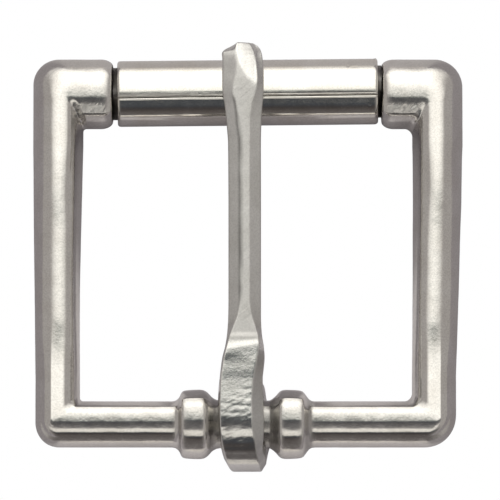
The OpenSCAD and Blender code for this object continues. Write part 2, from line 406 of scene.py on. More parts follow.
def smooth_line(rows, step):
    """A finely sampled smooth line through rows of numbers.

    Each stretch between two rows is a cubic. Its slope at a row is the harmonic mean of the
    slopes to the rows before and after, or 0 where those two disagree in sign, so that the
    line never swings past a row. Stretches are cut into pieces no longer than step.
    """
    rows = np.asarray(rows, float)
    length = np.linalg.norm(np.diff(rows[:, :2], axis=0), axis=1)
    place = np.concatenate([[0], np.cumsum(length)])
    chord = np.diff(rows, axis=0) / length[:, None]
    product = chord[:-1] * chord[1:]
    total = chord[:-1] + chord[1:]
    middle = np.where(product > 0, 2 * product / np.where(product > 0, total, 1.0), 0.0)
    slope = np.concatenate([chord[:1], middle, chord[-1:]])
    fine = np.unique(np.concatenate([
        np.linspace(a, b, max(2, int(np.ceil((b - a) / step)) + 1))
        for a, b in zip(place[:-1], place[1:])]))
    k = np.clip(np.searchsorted(place, fine, side="right") - 1, 0, len(rows) - 2)
    gap = (place[k + 1] - place[k])[:, None]
    t = (fine - place[k])[:, None] / gap
    return (rows[k] * (2 * t**3 - 3 * t**2 + 1) + slope[k] * gap * (t**3 - 2 * t**2 + t)
            + rows[k + 1] * (3 * t**2 - 2 * t**3) + slope[k + 1] * gap * (t**3 - t**2))


# Samples of a seen section, along its front by tilt and along its hidden back.
FRONT_SAMPLES = 3601
BACK_SAMPLES = 401


def seen_round(table, outside):
    """Radius round a section of half height 1 whose skin is given as the camera sees it.

    The depth towards the camera is minus the sum of the tilt's tangent times each step in
    height. Past the first and last row of the table the skin is a round that ends at the
    outline, and the hidden back is half an ellipse. outside is 1 if the frame's outer side is
    up in the picture and -1 if it is down."""
    heights, tilts = np.array(table, float).T
    tilts = np.radians(tilts)
    tilt = np.radians(np.linspace(-90, 90, FRONT_SAMPLES))
    sine = np.sin(tilt)
    low = -1 + (heights[0] + 1) * (sine + 1) / (math.sin(tilts[0]) + 1)
    high = 1 - (1 - heights[-1]) * (1 - sine) / (1 - math.sin(tilts[-1]))
    height = np.interp(tilt, tilts, heights)
    height = np.where(tilt < tilts[0], low, np.where(tilt > tilts[-1], high, height))
    step = -np.tan((tilt[1:] + tilt[:-1]) / 2) * np.diff(height)
    depth = np.concatenate([[0], np.cumsum(step)])
    depth -= depth[-1] / 2
    back = np.linspace(0, math.pi, BACK_SAMPLES)[1:-1]
    height = np.concatenate([height, np.cos(back)])
    depth = np.concatenate([depth, depth[-1] * np.cos(back) - np.sin(back)])
    y = height * math.cos(VIEW_TILT) - depth * math.sin(VIEW_TILT)
    z = height * math.sin(VIEW_TILT) + depth * math.cos(VIEW_TILT)
    return np.interp(around, np.arctan2(z, outside * y), np.hypot(y, z), period=2 * math.pi)


def round_table(table):
    """Values round the section from a table for its front half, the same for the back."""
    degrees = np.degrees(around)
    angles, values = np.array(table, float).T
    return np.interp(np.minimum(degrees, 360 - degrees), angles, values)


def bend(corner_x, corner_y, radius, sign_x, sign_y, first_angle, z_from, z_to):
    """A quarter turn of the frame. Every point of the section runs on its own arc, which
    touches the two straight edges that meet at corner_x, corner_y, and its height eases
    from one side's section to the next one's."""
    t = np.linspace(0, 1, CORNER_STEPS)[:, None]
    angle = first_angle + t * math.pi / 2
    return np.stack([
        corner_x - sign_x * radius + radius * np.cos(angle),
        corner_y - sign_y * radius + radius * np.sin(angle),
        z_from + (z_to - z_from) * ease(t)], axis=-1)


def lead(first, last, count):
    """Sections evenly spaced between two sections, both left out."""
    t = (np.arange(1, count + 1) / (count + 1))[:, None, None]
    return first + (last - first) * t


def side_bar(table, foot, head):
    """A side bar from the strap bar's end up: ovals about an axis, with the half width from
    the table and a half depth that grows evenly to the boss. Its thick front and back lean
    towards the opening by SIDE_HEEL times the sine squared. Near its two ends the lines that
    run along the bar slide round the ovals to where foot and head say that they meet."""
    line = smooth_line(table, SIDE_BAR_STEP)
    y, axis, half_w = line[:, :1], line[:, 1:2], line[:, 2:]
    t = (y - y[0]) / (y[-1] - y[0])
    half_d = SIDE_DEPTH[0] + (SIDE_DEPTH[1] - SIDE_DEPTH[0]) * t
    degrees = np.degrees(around)
    near = np.minimum(degrees, 360 - degrees)
    foot_end, head_start = SLIDE_SHARES
    slide = ((round_table(foot) - near) * (1 - ease(t / foot_end))
             + (round_table(head) - near) * rises(t, head_start, 1 - head_start))
    degrees = np.radians(degrees + slide * np.where(degrees > 180, -1, 1))
    side = 1 if axis[0] > 0 else -1
    x = axis + side * (half_w * np.cos(degrees) - SIDE_HEEL * np.sin(degrees) ** 2)
    return np.stack([x, np.broadcast_to(y, x.shape), half_d * np.sin(degrees)], axis=-1)


def boss_and_pin():
    """The roller end from right to left: boss, rounded rim, pin, rim and boss."""
    turn = np.linspace(0, math.pi / 2, RIM_STEPS)
    rim_x = BOSS_RIM[0] * (1 - np.sin(turn))
    rim_r = BOSS_PICTURE_R - BOSS_RIM[1] * (1 - np.cos(turn))
    straight = np.linspace(*BOSS_END, BOSS_END_STEPS)
    away = np.concatenate([BOSS_RIM[0] + straight, rim_x, [-PIN_FOOT]])
    radius = np.concatenate([np.full(BOSS_END_STEPS, BOSS_PICTURE_R), rim_r, [PIN_R]])
    along = np.concatenate([BOSS_IN[1] + away, np.linspace(*PIN_SPAN[::-1], PIN_STEPS),
                            (BOSS_IN[0] - away)[::-1]])
    radius = np.concatenate([radius, np.full(PIN_STEPS, PIN_R), radius[::-1]])[:, None]
    on_boss = rises(radius, PIN_R, PIN_BLEND)
    x = along[:, None]
    pin_y = PIN_Y + x * math.sin(PIN_SLANT)
    centre = BOSS_Y * on_boss + pin_y * (1 - on_boss)
    reach = radius * (1 + (seen_round(BOSS_SEEN, 1) - 1) * on_boss)
    return np.stack([np.broadcast_to(x, reach.shape), centre + reach * outward,
                     reach * frontward], axis=-1)


def frame_surface():
    """The whole casting as one closed band of sections: along the strap bar, up the right
    side bar, back over the bosses and the pin, and down the left side bar."""
    line = smooth_line(STRAP_BAR_OUTLINE, STRAP_BAR_STEP)
    reach = line[:, 1:2] * seen_round(STRAP_BAR_SEEN, -1)
    strap_bar = np.stack([np.broadcast_to(line[:, :1], reach.shape),
                          -reach * outward, reach * frontward], axis=-1)
    right = side_bar(RIGHT_BAR, SIDE_FOOT, RIGHT_HEAD)
    left = side_bar(LEFT_BAR, SIDE_FOOT, LEFT_HEAD)[::-1]
    top = boss_and_pin()
    half_pi = math.pi / 2
    low_y, low_z = strap_bar[0, :, 1], strap_bar[0, :, 2]
    high_y, high_z = top[0, :, 1], top[0, :, 2]
    for bar in (right, left):
        y = bar[:, :, 1]
        at_foot = 1 - ease((y - FOOT_Y[0]) / (FOOT_Y[1] - FOOT_Y[0]))
        at_head = ease((y - HEAD_Y[0]) / (HEAD_Y[1] - HEAD_Y[0])) * round_table(HEAD_SHARE)
        bar[:, :, 2] += (low_z - bar[:, :, 2]) * at_foot + (high_z - bar[:, :, 2]) * at_head
    corners = [
        bend(right[0, :, 0], low_y, round_table(STRAP_RIGHT_BEND), 1, -1, -half_pi,
             low_z, right[0, :, 2]),
        bend(right[-1, :, 0], high_y, round_table(BOSS_RIGHT_BEND), 1, 1, 0.0,
             right[-1, :, 2], high_z),
        bend(left[0, :, 0], high_y, round_table(BOSS_LEFT_BEND), -1, 1, half_pi,
             high_z, left[0, :, 2]),
        bend(left[-1, :, 0], low_y, round_table(STRAP_LEFT_BEND), -1, -1, math.pi,
             left[-1, :, 2], low_z),
    ]
    parts = [strap_bar, corners[0], right, corners[1], top, corners[2], left, corners[3]]
    joined = []
    for part, following in zip(parts, parts[1:] + parts[:1]):
        joined += [part, lead(part[-1], following[0], LEAD_STEPS)]
    return np.concatenate(joined)


def wobble(points, wavelength, seed, waves=14):
    """A smooth random field mostly between -1 and 1: twice the mean of sine waves in random
    directions, each with a wavelength near the given one."""
    random = np.random.default_rng(seed)
    way = random.normal(size=(waves, 3))
    way /= np.linalg.norm(way, axis=1, keepdims=True)
    count = 2 * math.pi / (wavelength * random.uniform(0.7, 1.5, waves))
    phase = random.uniform(0, 2 * math.pi, waves)
    return np.sin(points @ (way * count[:, None]).T + phase).mean(axis=-1) * 2.0


def grid_normals(points):
    """Unit normals of a grid that joins up both ways: the cross product of the steps from
    each point's neighbour before to its neighbour after, along and across the grid."""
    along = np.roll(points, -1, 0) - np.roll(points, 1, 0)
    across = np.roll(points, -1, 1) - np.roll(points, 1, 1)
    normal = np.cross(along, across)
    return normal / np.maximum(np.linalg.norm(normal, axis=-1, keepdims=True), 1e-12)


def skin(name, points, rows_close, material, body, node, marks):
    """A smooth quad mesh over a grid of points in millimetres whose columns join up, made
    into an object that replaces its plain solid and moves with that solid's body. marks are
    named values from 0 to 1, one for each point, that the material reads."""
    rows, columns = points.shape[:2]
    index = np.arange(rows * columns).reshape(rows, columns)
    here = index if rows_close else index[:-1]
    there = np.roll(index, -1, 0) if rows_close else index[1:]
    faces = np.stack([here, there, np.roll(there, -1, 1), np.roll(here, -1, 1)], axis=-1)
    mesh = bpy.data.meshes.new(name)
    mesh.vertices.add(rows * columns)
    mesh.vertices.foreach_set("co", (points * MM).astype(np.float32).ravel())
    mesh.loops.add(faces.size)
    mesh.loops.foreach_set("vertex_index", faces.astype(np.int32).ravel())
    mesh.polygons.add(faces.size // 4)
    mesh.polygons.foreach_set("loop_start", np.arange(0, faces.size, 4, dtype=np.int32))
    mesh.polygons.foreach_set("use_smooth", np.ones(faces.size // 4, dtype=bool))
    mesh.update(calc_edges=True)
    mesh.validate()
    for mark, values in marks.items():
        stored = mesh.attributes.new(mark, "FLOAT", "POINT")
        stored.data.foreach_set("value", values.astype(np.float32).ravel())
    mesh.materials.append(material)
    piece = bpy.data.objects.new(name, mesh)
    scene.collection.objects.link(piece)
    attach(piece, body)
    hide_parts(node)


def noise_node(tree, coordinates, per_mm, detail=3.0, stretch=(1, 1, 1), slant=0.0):
    """A Noise Texture with per_mm waves in a millimetre, stretched along an axis at will and
    turned by slant degrees about Z."""
    turned = tree.nodes.new("ShaderNodeMapping")
    turned.inputs["Rotation"].default_value = (0, 0, math.radians(slant))
    wire(tree, coordinates, turned.inputs["Vector"])
    mapping = tree.nodes.new("ShaderNodeMapping")
    mapping.inputs["Scale"].default_value = stretch
    wire(tree, turned.outputs["Vector"], mapping.inputs["Vector"])
    node = tree.nodes.new("ShaderNodeTexNoise")
    node.inputs["Scale"].default_value = per_mm / MM
    node.inputs["Detail"].default_value = detail
    wire(tree, mapping.outputs["Vector"], node.inputs["Vector"])
    return node


def bump_node(tree, height, relief, normal):
    """A Bump node that adds a relief in millimetres to the normal so far."""
    node = tree.nodes.new("ShaderNodeBump")
    node.inputs["Strength"].default_value = 1.0
    node.inputs["Distance"].default_value = relief * MM
    wire(tree, height, node.inputs["Height"])
    if normal:
        wire(tree, normal, node.inputs["Normal"])
    return node


# The plate's clouds of tint, fine speckle and patches of gloss, in waves per millimetre, the least
# and most of each noise that counts, and what the speckle, the darkening of wear and painted
# shade, and filing do to the plate.
CLOUDS = (0.35, 0.38, 0.68)
SPECKLE = (5.0, 0.38, 0.66)
PATCHES = (1.1, 0.3, 0.7)
SPECKLE_SHADE = 0.90
WEAR_AND_SHADE_COLOUR = (0.03, 0.025, 0.025)
DULLING = 0.26
SCRATCH_STRETCH = (1, 0.12, 1)


def nickel(name, plain, stained, gloss, reliefs, scratches):
    """Nickel plate. plain and stained are the two tints that drift over the surface, gloss the
    least and most roughness, and reliefs rows of (waves per millimetre, height in mm, stretch) for
    the grain in the skin. The mark "stain", which holds real wear and painted shade, darkens and
    dulls the plate, and the mark "filed" dulls it and cuts scratches of (waves per millimetre,
    height in mm, degrees)."""
    material = bpy.data.materials.new(name)
    material.use_nodes = True
    tree = material.node_tree
    shader = tree.nodes["Principled BSDF"]
    shader.inputs["Metallic"].default_value = 1.0
    place = tree.nodes.new("ShaderNodeTexCoord").outputs["Object"]
    marks = []
    for mark in ("wear_and_painted_shade", "filed"):
        marks.append(tree.nodes.new("ShaderNodeAttribute"))
        marks[-1].attribute_name = mark
    wear_and_painted_shade, filed = (node.outputs["Fac"] for node in marks)
    cloud = noise_node(tree, place, CLOUDS[0], 4.0)
    tint = ramp_node(tree, cloud, [(CLOUDS[1], plain), (CLOUDS[2], stained)])
    speckle = range_node(tree, noise_node(tree, place, SPECKLE[0], 2.0), SPECKLE[1:],
                         (1.0, SPECKLE_SHADE))
    tint = colour_mix(tree, 1.0, tint, speckle, "MULTIPLY")
    tint = colour_mix(tree, wear_and_painted_shade, tint, WEAR_AND_SHADE_COLOUR)
    wire(tree, tint, shader.inputs["Base Color"])
    patches = noise_node(tree, place, PATCHES[0], 4.0)
    rough = range_node(tree, patches, PATCHES[1:], gloss, "LINEAR")
    dulled = math_node(tree, "MULTIPLY", math_node(tree, "ADD", wear_and_painted_shade, filed), DULLING)
    wire(tree, math_node(tree, "ADD", rough, dulled), shader.inputs["Roughness"])
    normal = None
    for per_mm, relief, stretch in reliefs:
        grain = noise_node(tree, place, per_mm, 2.0, stretch)
        normal = bump_node(tree, grain, relief, normal)
    per_mm, relief, slant = scratches
    scratch = noise_node(tree, place, per_mm, 3.0, SCRATCH_STRETCH, slant)
    normal = bump_node(tree, scratch, relief, normal)
    wire(tree, filed, normal.inputs["Strength"])
    wire(tree, normal, shader.inputs["Normal"])
    return material


# Darkening on the casting: how dark each is, and as (limit, soft edge) how far the painted shade
# on the pin reaches from the pin's axis, standing in for the shadow in the gap between the bosses
# and the roller, and how far the darkening beside the collars reaches along X and from the strap
# bar's axis. The pin's painted shade stops at a set X to either side, so the bosses' outer ends
# are not darkened.
PIN_PAINTED_SHADE = 0.84
PIN_SHADE_R = (3.45, 0.25)
NECK_DARKNESS = 0.35
NECK_DARK_X = (7.9, 0.3)
NECK_DARK_R = (3.9, 0.8)
PIN_SHADE_END_X = 17
# The filed flat on each boss, as (limit, soft edge): its lower and upper side by height in the
# picture as a share of the boss's half height, and its inner and outer end by X. The outer end
# runs aslant: it moves by FILED_SLANT times the height above FILED_MIDDLE. Only the front is
# filed, above FRONT_Z.
FILED = 0.55
FILED_LOW = (-0.565, 0.03)
FILED_HIGH = (-0.20, 0.16)
FILED_INNER = (16.2, 0.4)
FILED_OUTER = (21.0, 0.4)
FILED_SLANT = 3.5
FILED_MIDDLE = -0.26
FRONT_Z = 1


def casting_marks(points):
    """Where the casting is darkened and where it is filed. The pin is painted black with shade,
    for the shadowed gap between the bosses and the roller, and the necks beside the collars are
    darker. The flat below each boss's front is filed. Each mark is a product of eased steps, one
    for each of its sides."""
    x, y, z = np.moveaxis(points, -1, 0)
    across = np.abs(x)
    pin_shade = falls(np.hypot(y - PIN_Y, z), *PIN_SHADE_R) * (across < PIN_SHADE_END_X)
    neck_dark = falls(across, *NECK_DARK_X) * falls(np.hypot(y, z), *NECK_DARK_R)
    height = (y * PICTURE_UP[1] + z * PICTURE_UP[2] - BOSS_Y * PICTURE_UP[1]) / BOSS_PICTURE_R
    filed = falls(height, *FILED_HIGH) * rises(height, *FILED_LOW) * (z > FRONT_Z)
    outer = across - FILED_SLANT * (height - FILED_MIDDLE)
    filed = filed * rises(across, *FILED_INNER) * falls(outer, *FILED_OUTER)
    return {"wear_and_painted_shade": np.maximum(PIN_PAINTED_SHADE * pin_shade, NECK_DARKNESS * neck_dark), "filed": FILED * filed}


cast_nickel = nickel(
    "cast_nickel", (0.73, 0.71, 0.68), (0.67, 0.645, 0.61), (0.12, 0.18),
    [(0.9, 0.012, (1, 1, 1)), (3.2, 0.0052, (1, 1, 1)), (8.0, 0.0014, (1, 1, 1))],
    (2.2, 0.30, 35.0))

# The casting is uneven by this many millimetres, in long waves with shorter ones on them. The
# shorter ones have this share of the long ones' height.
UNEVEN = 0.006
SHORTER_SHARE = 0.6
frame_points = frame_surface()
uneven = (wobble(frame_points, wavelength=2.6, seed=11)
          + SHORTER_SHARE * wobble(frame_points, wavelength=1.1, seed=12))
frame_points += UNEVEN * uneven[..., None] * grid_normals(frame_points)
skin("cast_frame", frame_points, True, cast_nickel, "frame", "frame",
     casting_marks(frame_points))

# Roller. A strip of thin sheet rolled into a tube that spins on the pin. Its two long edges
# almost meet in a seam along the front; the upper edge is turned in over a broad lip.
# Polished and nickel plated, with a few pits and a nick at its right end.

# The seam's angle and the ends' rounding are given for the left and the right end, a lip by its
# width and depth.
ROLLER_R = 3.83
ROLLER_WALL = 0.6
ROLLER_ENDS = (-14.90, 15.41)
SEAM_ANGLE = (math.radians(-16.0), math.radians(-14.6))
SEAM_WAVE = 0.006
SEAM_GAP = 0.09
SEAM_FLAT = math.radians(13.0)
LIP_UPPER = (0.46, 0.13)
LIP_LOWER = (0.22, 0.13)
END_ROUND = (0.38, 0.46)

# Points round the wall, crowded below the seam by a power of their share of the way, and
# sections along the tube, closer together past FINE_FROM_X, where the marks of use are.
OUTER_STEPS = 170
OUTER_CROWDING = 1.25
LIP_STEPS = 12
INNER_STEPS = 50
END_STEPS = 8
PLAIN_STEPS = 110
FINE_STEPS = 95
FINE_FROM_X = 9.5


def roller_profile():
    """One turn of the tube's wall, as angle from the seam and radius: up the lower lip, over
    the back, down the upper lip and back along the bore. A lip is a quarter ellipse of a given
    width and depth. Below the seam the sheet was left flat, which lifts its edge: there the
    radius is the tube's divided by the cosine of the angle from where the flat begins."""
    quarter = np.linspace(0, math.pi / 2, LIP_STEPS)
    gap = SEAM_GAP / 2 / ROLLER_R
    lower = -gap - LIP_LOWER[0] / ROLLER_R * (1 - np.cos(quarter))
    upper = gap - 2 * math.pi + LIP_UPPER[0] / ROLLER_R * (1 - np.cos(quarter[::-1]))
    spread = np.linspace(0, 1, OUTER_STEPS + 2)[1:-1] ** OUTER_CROWDING
    outer = lower[-1] + (upper[0] - lower[-1]) * spread
    inner = np.linspace(upper[-1], lower[0], INNER_STEPS)
    turn = np.concatenate([lower, outer, upper, inner])
    depth = np.concatenate([LIP_LOWER[1] * (1 - np.sin(quarter)), np.zeros(OUTER_STEPS),
                            LIP_UPPER[1] * (1 - np.sin(quarter[::-1])),
                            np.full(INNER_STEPS, ROLLER_WALL)])
    flat = 1 / np.cos(np.clip(turn + SEAM_FLAT, 0, SEAM_FLAT))
    outside = depth < ROLLER_WALL
    return turn, np.where(outside, ROLLER_R * flat - depth, ROLLER_R - depth)


# Marks of use, most of them near the right end: X, height in the picture from the pin's line,
# half width along X, half width across, and depth. The last is a burr that stands up. They lie
# where the cosine of the angle from the camera's direction is above MARKED_COSINE.
ROLLER_MARKS = [
    (11.95, 3.02, 0.16, 0.12, 0.035), (12.75, 2.86, 0.45, 0.05, 0.012),
    (13.45, 3.30, 0.40, 0.06, 0.012), (14.70, 1.60, 0.07, 0.06, 0.018),
    (14.05, 0.95, 0.07, 0.06, 0.015), (14.45, -1.55, 0.12, 0.10, 0.030),
    (-9.70, -0.95, 0.16, 0.05, 0.012), (-10.3, -0.80, 0.10, 0.07, 0.012),
    (-4.80, -1.30, 0.05, 0.05, 0.010), (15.20, 3.80, 0.16, 0.30, -0.10),
]
MARKED_COSINE = -0.2


def seam_angle(x):
    """The seam's angle from the front: it drifts evenly from the left end to the right end."""
    t = (x - ROLLER_ENDS[0]) / (ROLLER_ENDS[1] - ROLLER_ENDS[0])
    return SEAM_ANGLE[0] + (SEAM_ANGLE[1] - SEAM_ANGLE[0]) * t


def roller_surface():
    """The tube about the X axis, which on_pin later sets on the slanted pin: the wall's outline
    carried along X, with the seam's angle drifting and waving along it, the wall rounded off at
    both ends, and the marks, each a bell-shaped hollow in the skin."""
    low, high = ROLLER_ENDS
    rounding = 1 - np.cos(np.linspace(0, math.pi / 2, END_STEPS))
    x = np.concatenate([low + END_ROUND[0] * rounding,
                        np.linspace(low + END_ROUND[0], FINE_FROM_X, PLAIN_STEPS)[1:],
                        np.linspace(FINE_FROM_X, high - END_ROUND[1], FINE_STEPS)[1:-1],
                        high - END_ROUND[1] * rounding[::-1]])
    waves = wobble(np.stack([x, 0 * x, 0 * x], -1), wavelength=6.0, seed=21)
    seam = seam_angle(x) + SEAM_WAVE * waves
    turn, radius = roller_profile()
    turn = turn[None, :] + seam[:, None]
    near_end = np.minimum((x - low) / END_ROUND[0], (high - x) / END_ROUND[1])
    fullness = np.sqrt(np.clip(1 - (1 - np.clip(near_end, 0, 1)) ** 2, 0, 1))[:, None]
    middle = ROLLER_R - ROLLER_WALL / 2
    outside = radius[None, :] > middle
    radius = middle + (radius[None, :] - middle) * fullness
    height = radius * np.sin(turn + VIEW_TILT)
    facing = np.cos(turn + VIEW_TILT) > MARKED_COSINE
    for mark_x, mark_height, half_x, half_y, depth in ROLLER_MARKS:
        bell = np.exp(-((x[:, None] - mark_x) / half_x) ** 2
                      - ((height - mark_height) / half_y) ** 2)
        radius = radius - depth * bell * outside * facing
    return np.stack([np.broadcast_to(x[:, None], turn.shape),
                     radius * np.sin(turn), radius * np.cos(turn)], axis=-1)


# The worn lip starts and ends at these (degrees above the seam, soft edge). On the right it has
# only the share WORN_RIGHT of the full wear, and it grows to full leftwards from (X, width) on.
# It is patchy: its middle strength, and how far it swings to either side of that.
WORN_START = (-1, 1.5)
WORN_END = (10.5, 2.2)
WORN_RIGHT = 0.35
WORN_LEFT = (2, 9)
WORN_PATCHY = (0.7, 0.3)
WORN_STAIN = 0.30


def roller_marks(points):
    """The upper lip of the seam is rough and worn, most of all on the left."""
    x, y, z = np.moveaxis(points, -1, 0)
    above = np.degrees(np.arctan2(y, z) - seam_angle(x))
    lip = rises(above, *WORN_START) * falls(above, *WORN_END)
    left = WORN_RIGHT + (1 - WORN_RIGHT) * falls(x, *WORN_LEFT)
    patchy = WORN_PATCHY[0] + WORN_PATCHY[1] * wobble(points, wavelength=0.7, seed=22)
    worn = lip * left * patchy
    return {"wear_and_painted_shade": WORN_STAIN * worn, "filed": worn}


def on_pin(points):
    """Turns points by the pin's slant in the frame's plane and moves them onto the pin."""
    c, s = math.cos(PIN_SLANT), math.sin(PIN_SLANT)
    x, y, z = np.moveaxis(points, -1, 0)
    return np.stack([x * c - y * s, PIN_Y + x * s + y * c, z], axis=-1)


roller_nickel = nickel(
    "roller_nickel", (0.76, 0.74, 0.70), (0.70, 0.67, 0.62), (0.08, 0.14),
    [(0.35, 0.010, (1, 2, 2)), (1.8, 0.0022, (0.5, 1, 1)), (7.0, 0.0006, (1, 1, 1))],
    (3.5, 0.05, 90.0))

roller_points = roller_surface()
skin("rolled_roller", on_pin(roller_points), False, roller_nickel, "roller", "roller",
     roller_marks(roller_points))

# Tongue. A forged prong: its flat end is hammered, bent round the neck of the strap bar and
# closed under the shank. The shank is ground to three facets and its broad tip lies on the
# roller. Nickel plated over the hammer and file marks.

# A side facet takes FACET_SHARE of the thickness, and TIP_FACET_LOSS less of it past the (start,
# width) in Y. The section's eight edges have these numbers of points: the flat top, the right
# facet, side and lower bevel, the underside, and the left lower bevel, side and facet.
EYE_BORE_R = 2.85
FACET_SHARE = 0.34
TIP_FACET_LOSS = 0.3
TIP_FACET_Y = (41.0, 2.2)
INNER_BEVEL = 0.35
CORNER_POINTS = (24, 16, 12, 5, 16, 5, 12, 16)
SECTION_STEP = 0.12
SOFTENINGS = 2

# Rows along the shank from the tip to the head: Y, underside Z, top Z, left edge, right edge,
# left and right edge of the flat top.
SHANK = [
    (44.10, 2.60, 4.90, -1.05, 0.95, -1.00, 0.50),
    (43.85, 2.30, 5.05, -1.45, 1.35, -1.08, 0.65),
    (43.57, 2.15, 5.20, -1.97, 1.60, -1.10, 0.80),
    (43.33, 2.20, 5.33, -2.40, 1.74, -1.10, 0.90),
    (43.10, 2.30, 5.46, -2.64, 1.83, -1.10, 1.00),
    (42.86, 2.45, 5.58, -2.75, 1.89, -1.10, 1.05),
    (42.40, 2.70, 5.80, -2.70, 1.97, -1.10, 1.10),
    (41.30, 3.25, 6.06, -2.70, 2.09, -1.00, 1.25),
    (40.30, 3.60, 6.14, -2.71, 2.12, -1.05, 1.35),
    (39.60, 3.80, 6.16, -2.71, 2.12, -1.22, 1.38),
    (38.80, 3.90, 6.16, -2.69, 2.11, -1.40, 1.30),
    (38.00, 3.95, 6.15, -2.62, 2.08, -1.45, 1.12),
    (36.60, 3.95, 6.12, -2.40, 1.96, -1.15, 0.70),
    (34.60, 3.90, 6.08, -2.20, 1.84, -0.95, 0.45),
    (32.20, 3.75, 6.03, -2.02, 1.79, -0.66, 0.45),
    (24.00, 3.40, 5.92, -1.97, 1.80, -0.62, 0.45),
    (14.00, 2.95, 5.74, -1.97, 1.80, -0.62, 0.47),
    (12.00, 2.82, 5.71, -2.00, 1.80, -0.95, 0.72),
    (10.85, 2.72, 5.69, -2.06, 1.84, -1.40, 1.10),
    (9.68, 2.62, 5.67, -2.17, 1.94, -1.85, 1.45),
    (8.50, 2.50, 5.80, -2.37, 2.13, -2.20, 1.58),
    (7.33, 2.40, 5.80, -2.67, 2.22, -2.50, 1.46),
    (6.15, 2.35, 5.75, -2.85, 2.12, -2.70, 1.22),
    (4.98, 2.35, 5.70, -2.98, 2.00, -2.85, 1.00),
    (3.80, 2.35, 5.65, -3.10, 2.00, -2.92, 0.86),
    (2.10, 2.35, 5.55, -3.18, 2.08, -2.95, 0.74),
]

# Rows round the eye: angle from the front, outer radius, and the four edges as above.
EYE = [
    (8, 5.35, -3.12, 2.15, -2.90, 0.80),
    (28, 5.02, -3.00, 2.12, -2.75, 1.05),
    (49, 5.05, -2.80, 1.98, -2.40, 1.30),
    (60, 5.19, -2.64, 2.18, -2.20, 1.50),
    (70, 5.36, -2.46, 2.36, -2.02, 1.70),
    (92, 5.50, -1.90, 2.40, -1.50, 1.80),
    (114, 5.45, -1.45, 2.45, -1.05, 1.95),
    (136, 5.34, -1.10, 2.62, -0.68, 2.10),
    (158, 5.24, -0.80, 2.92, -0.40, 2.40),
    (180, 5.20, -0.78, 2.88, -0.38, 2.40),
    (205, 5.20, -0.92, 2.66, -0.52, 2.20),
    (235, 5.26, -1.20, 2.40, -0.80, 1.95),
    (270, 5.34, -1.50, 2.12, -1.10, 1.70),
]

# Rows up the tail of the eye: Z, outer Y and the four edges.
TAIL = [
    (1.00, 5.36, -1.56, 2.05, -1.16, 1.65),
    (2.10, 5.22, -1.55, 1.98, -1.15, 1.55),
]

# The hammered top of the head: Y and tilt of the skin from the camera's direction in degrees,
# towards +Y positive: the bend, a flat, a groove, a flat and the step down to the shank.
HEAD_TILT = [
    (-3.10, -31.0), (-2.75, -26.0), (-2.30, -20.0), (-2.05, -17.0), (-1.45, -11.6), (-1.30, -9.8),
    (-1.05, -7.2), (-0.50, -3.2), (0.10, 1.0), (0.32, 2.2), (0.50, 3.0), (1.00, 3.6), (3.00, 4.1),
    (4.45, 3.8), (4.70, 3.5), (4.85, 2.6), (5.25, 2.4), (5.80, 3.1), (6.05, 3.7), (6.25, 3.6),
    (6.45, 3.0), (7.00, 3.10), (8.25, 3.3), (8.45, 4.2), (8.62, 14.0), (8.95, 14.0), (9.20, 6.8),
    (9.75, 6.8),
]
HEAD_START_Z = 3.892
# The hammered top begins and ends at these (Y, soft edge), and counts on sections that lean less
# than HEAD_LEAN radians. HEAD_ROUNDS tries are enough to find it.
HEAD_BEGINS = (-3.6, 0.6)
HEAD_ENDS = (9.5, 0.6)
HEAD_LEAN = 0.8
HEAD_ROUNDS = 20

# The step down to the shank runs aslant by this much Y for each X, from the first (Y, soft edge)
# on, and that shift ends at the second.
STEP_SLANT = 0.17
STEP_FROM = (6.6, 1.2)
STEP_UNTIL = (10.6, 0.5)

# Ripples: height, mean wavelength, their turn in radians, and as (Y, soft edge) where they start
# and end. The end runs aslant.
RIPPLE_HEIGHT = 0.012
RIPPLE_LENGTH = 0.52
RIPPLE_TURN = 0.3
RIPPLES_FROM = (-3.9, 0.8)
RIPPLES_UNTIL = (4.3, 1.2)
RIPPLES_SLANT = 0.6

# The slanted ridge across the tip as X and Y, and how steeply the flat past it falls, by X.
TIP_RIDGE = [(-1.0, 43.1), (-0.73, 41.9), (-0.3, 40.9), (0.13, 40.2), (0.6, 39.75), (1.1, 39.27)]
TIP_FALL = [(-1.0, 0.0425), (-0.3, 0.068), (1.1, 0.153)]


def head_top(y):
    """Height of the head's top over Y: the start height plus the sum of the slope, which is the
    tangent of the camera's tilt minus the skin's tilt."""
    place, tilt = np.array(HEAD_TILT, float).T
    fine = np.linspace(place[0], place[-1], 1200)
    slope = np.tan(VIEW_TILT - np.radians(np.interp(fine, place, tilt)))
    rise = np.concatenate([[0], np.cumsum((slope[1:] + slope[:-1]) / 2 * np.diff(fine))])
    return HEAD_START_Z + np.interp(y, fine, rise) + slope[0] * np.minimum(y - place[0], 0)


